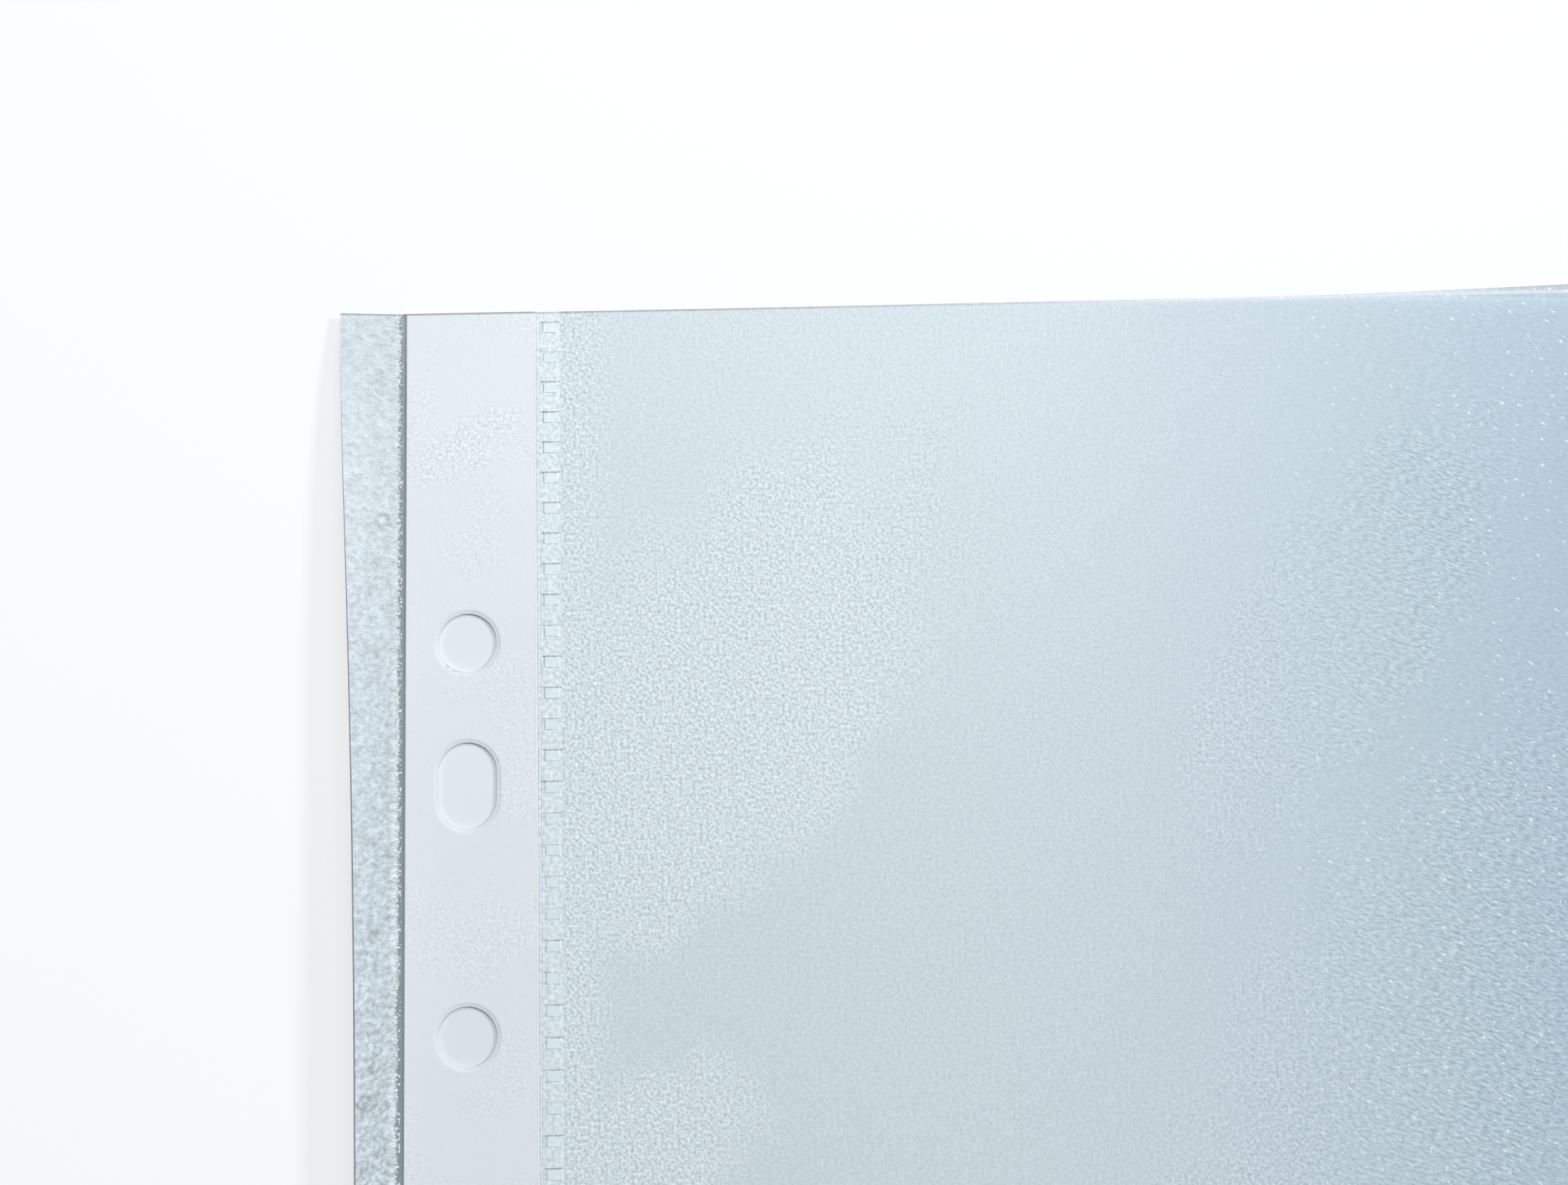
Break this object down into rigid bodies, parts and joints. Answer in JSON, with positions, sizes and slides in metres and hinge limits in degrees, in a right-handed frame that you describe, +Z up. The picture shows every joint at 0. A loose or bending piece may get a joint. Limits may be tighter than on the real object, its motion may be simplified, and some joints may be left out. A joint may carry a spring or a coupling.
{
  "type": "sheet protector",
  "caption": "Punched clear film pocket for A4 sheets, open at the top, with a white reinforcing strip along its binding margin and a crease on which the pocket turns.",
  "frame": {"origin": "on the table, under the middle of the bounding box", "axes": "+X from the binding edge to the outer fold, +Y from the bottom weld to the open mouth, +Z up off the table"},
  "size_m": [0.238, 0.303, 0.0067],
  "materials": {
    "clear_film": "embossed clear polypropylene film with an orange-peel grain",
    "white_strip": "opaque white polypropylene tape, smooth",
    "edge_film": "two layers of embossed clear polypropylene film, lying together",
    "weld": "clear film pressed and fused, with a ladder of smooth pads"
  },
  "bodies": {
    "binding_margin": {"margin_back_film": "clear_film", "binding_strip": "white_strip", "margin_front_film": "clear_film", "outer_film_edge": "edge_film"},
    "pocket": {"side_weld": "weld", "pocket_back_film": "clear_film", "pocket_front_film": "clear_film", "outer_fold": "edge_film", "bottom_weld": "weld"}
  },
  "joints": [
    {"name": "margin_crease", "type": "hinge", "parent": "binding_margin", "child": "pocket", "pos_m": [-0.10048, 0, 0.0001], "axis": [0, -1, 0], "range_deg": [-90, 90]}
  ]
}
